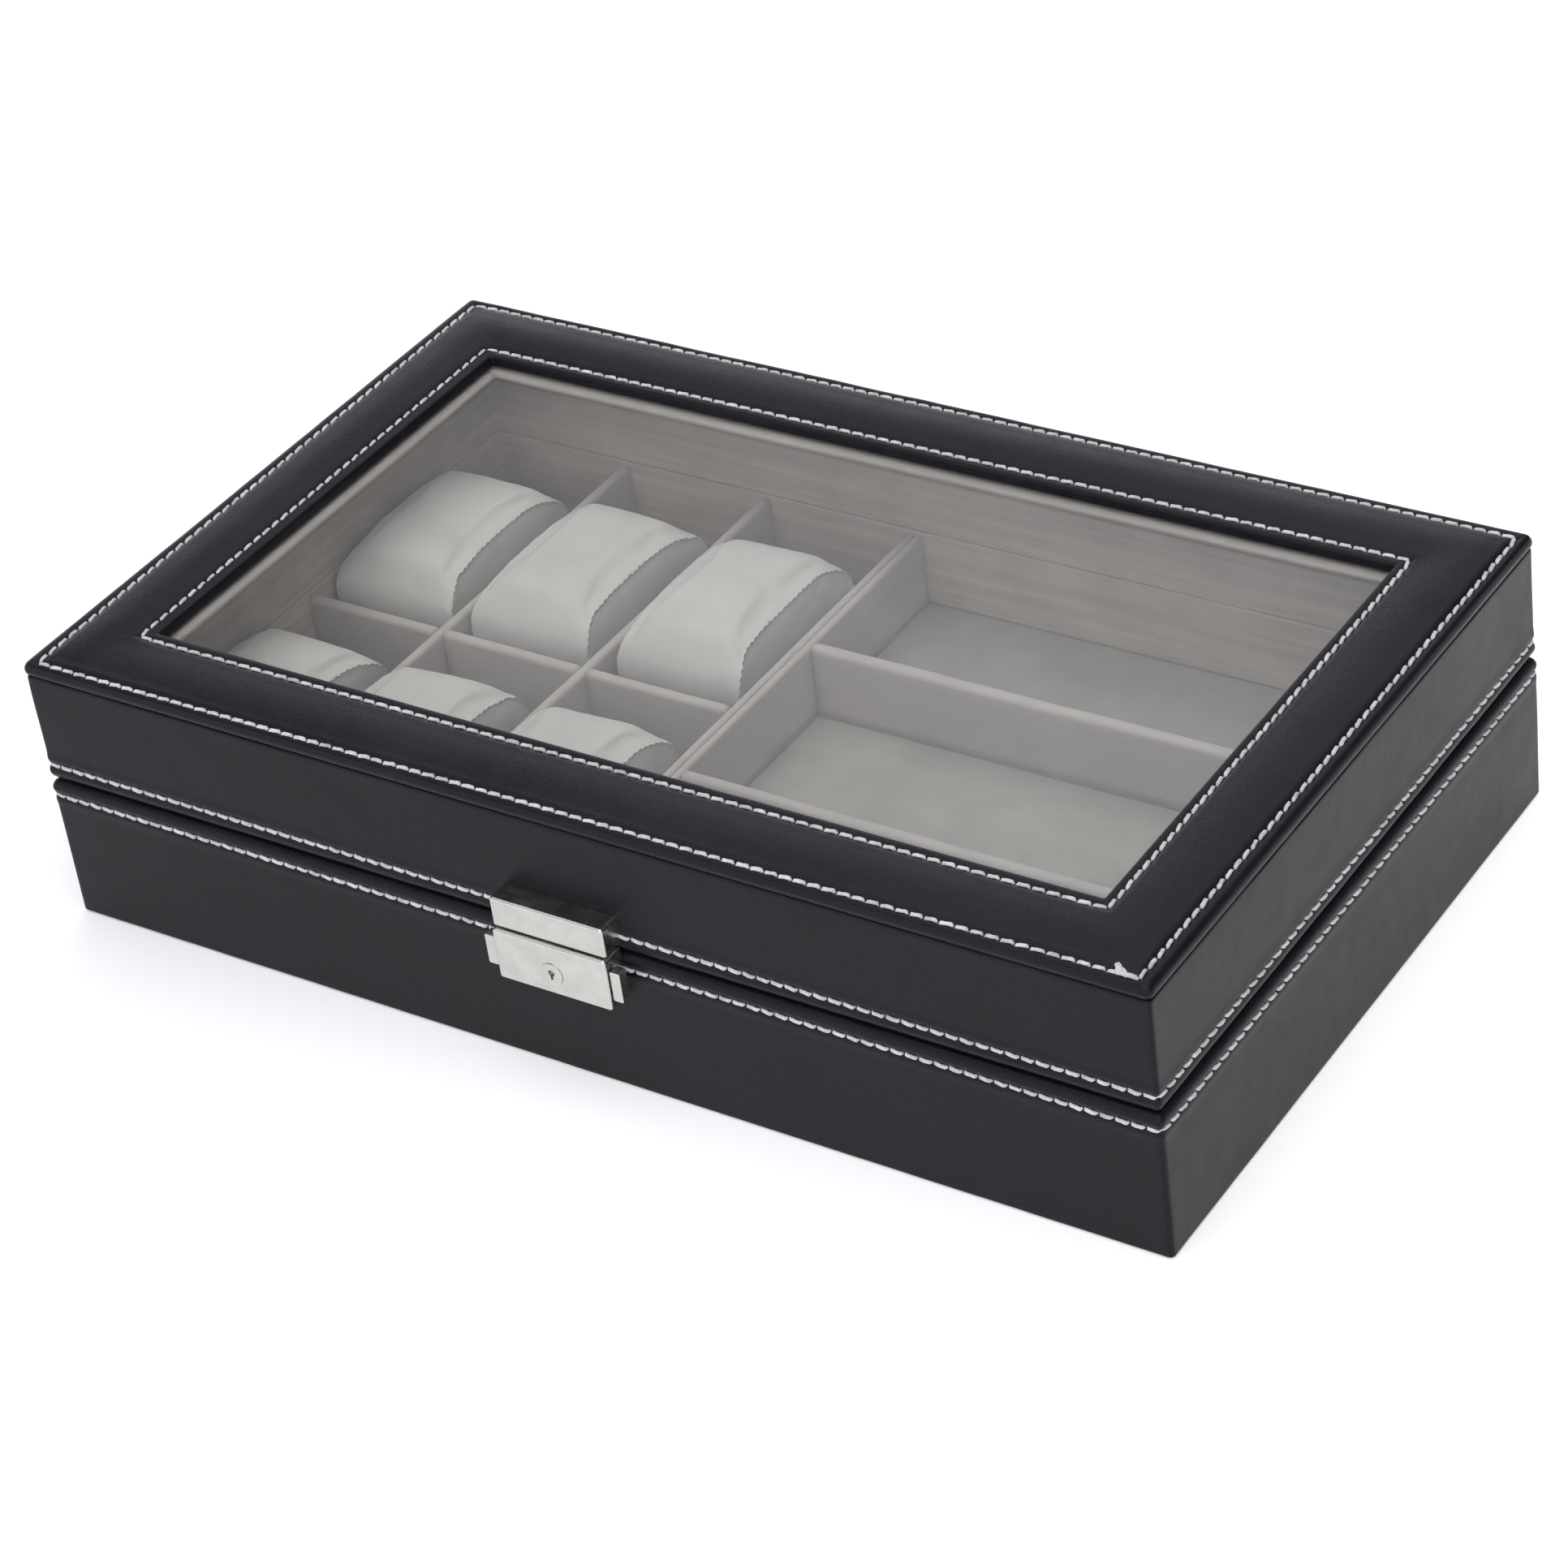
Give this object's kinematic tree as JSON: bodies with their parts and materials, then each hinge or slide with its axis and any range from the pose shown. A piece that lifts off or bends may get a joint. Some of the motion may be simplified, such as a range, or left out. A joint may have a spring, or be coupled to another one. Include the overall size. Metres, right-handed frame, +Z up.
{
  "type": "watch and glasses organizer box",
  "caption": "Low leather-covered box with a hinged glazed lid, small watch pockets with lift-out pillows beside long glasses compartments, and a front catch with a key plug.",
  "frame": {"origin": "centre of the resting face at the bottom of the base", "axes": "+Z up, +X along the long side towards the glasses compartments, front with the catch towards -Y, hinges towards +Y"},
  "size_m": [0.33, 0.212, 0.08],
  "materials": {
    "fibreboard": "raw fibreboard",
    "bottom_sheet": "matt non-woven",
    "leather": "black smooth-grain leather-look, satin",
    "lining": "taupe grey velvet",
    "divider_velvet": "light taupe velvet over card",
    "pillow_velvet": "light grey velvet",
    "foam": "soft foam",
    "pane": "clear",
    "steel": "nickel-plated",
    "satin_nickel": "satin nickel"
  },
  "bodies": {
    "base": {"base_front_board": "fibreboard", "base_back_board": "fibreboard", "base_left_board": "fibreboard", "base_right_board": "fibreboard", "base_bottom_board": "fibreboard", "bottom_cover_sheet": "bottom_sheet", "base_leather_wrap": "leather", "base_wall_lining": "lining", "floor_riser": "foam", "floor_lining": "lining", "main_divider_watch_side": "divider_velvet", "main_divider_glasses_side": "divider_velvet", "row_divider": "divider_velvet", "column_divider_1": "divider_velvet", "column_divider_2": "divider_velvet", "glasses_divider_back": "divider_velvet", "glasses_divider_front": "divider_velvet", "hinge_base_leaf_left": "steel", "hinge_base_leaf_right": "steel", "hinge_pins": "steel", "hinge_screws_base": "steel", "catch_back_plate": "steel", "catch_housing": "satin_nickel", "catch_screws": "steel", "catch_springs": "steel"},
    "lid": {"lid_front_board": "fibreboard", "lid_back_board": "fibreboard", "lid_left_board": "fibreboard", "lid_right_board": "fibreboard", "top_frame_long_rails": "fibreboard", "top_frame_short_rails": "fibreboard", "lid_top_foam": "foam", "lid_top_leather": "leather", "lid_side_leather": "leather", "lid_wall_lining": "lining", "window_pane": "pane", "pane_keeper_long_strips": "lining", "pane_keeper_short_strips": "lining", "hinge_lid_leaf_left": "steel", "hinge_lid_leaf_right": "steel", "hinge_screws_lid": "steel", "lid_catch_plate": "satin_nickel", "catch_hook": "steel", "hook_screws": "steel"},
    "catch_slider": {"catch_slider": "satin_nickel"},
    "key_plug": {"key_plug": "satin_nickel"},
    "pillow_1": {"pillow_cover_1": "pillow_velvet", "pillow_core_1": "foam"},
    "pillow_2": {"pillow_cover_2": "pillow_velvet", "pillow_core_2": "foam"},
    "pillow_3": {"pillow_cover_3": "pillow_velvet", "pillow_core_3": "foam"},
    "pillow_4": {"pillow_cover_4": "pillow_velvet", "pillow_core_4": "foam"},
    "pillow_5": {"pillow_cover_5": "pillow_velvet", "pillow_core_5": "foam"},
    "pillow_6": {"pillow_cover_6": "pillow_velvet", "pillow_core_6": "foam"}
  },
  "joints": [
    {"name": "lid_hinge", "type": "hinge", "parent": "base", "child": "lid", "pos_m": [0, 0.1026, 0.04315], "axis": [-1, 0, 0], "range_deg": [0, 100]},
    {"name": "catch_slide", "type": "slide", "parent": "base", "child": "catch_slider", "axis": [0, 0, -1], "range_m": [0, 0.003], "stiffness_N_per_m": 350, "springref_m": -0.0015, "deforming": ["catch_springs"]},
    {"name": "key_turn", "type": "hinge", "parent": "base", "child": "key_plug", "pos_m": [0, -0.1065, 0.0365], "axis": [0, -1, 0], "range_deg": [0, 90]},
    {"name": "pillow_1_lift", "type": "slide", "parent": "base", "child": "pillow_1", "axis": [0, 0, 1], "range_m": [0, 0.02]},
    {"name": "pillow_2_lift", "type": "slide", "parent": "base", "child": "pillow_2", "axis": [0, 0, 1], "range_m": [0, 0.02]},
    {"name": "pillow_3_lift", "type": "slide", "parent": "base", "child": "pillow_3", "axis": [0, 0, 1], "range_m": [0, 0.02]},
    {"name": "pillow_4_lift", "type": "slide", "parent": "base", "child": "pillow_4", "axis": [0, 0, 1], "range_m": [0, 0.02]},
    {"name": "pillow_5_lift", "type": "slide", "parent": "base", "child": "pillow_5", "axis": [0, 0, 1], "range_m": [0, 0.02]},
    {"name": "pillow_6_lift", "type": "slide", "parent": "base", "child": "pillow_6", "axis": [0, 0, 1], "range_m": [0, 0.02]}
  ]
}
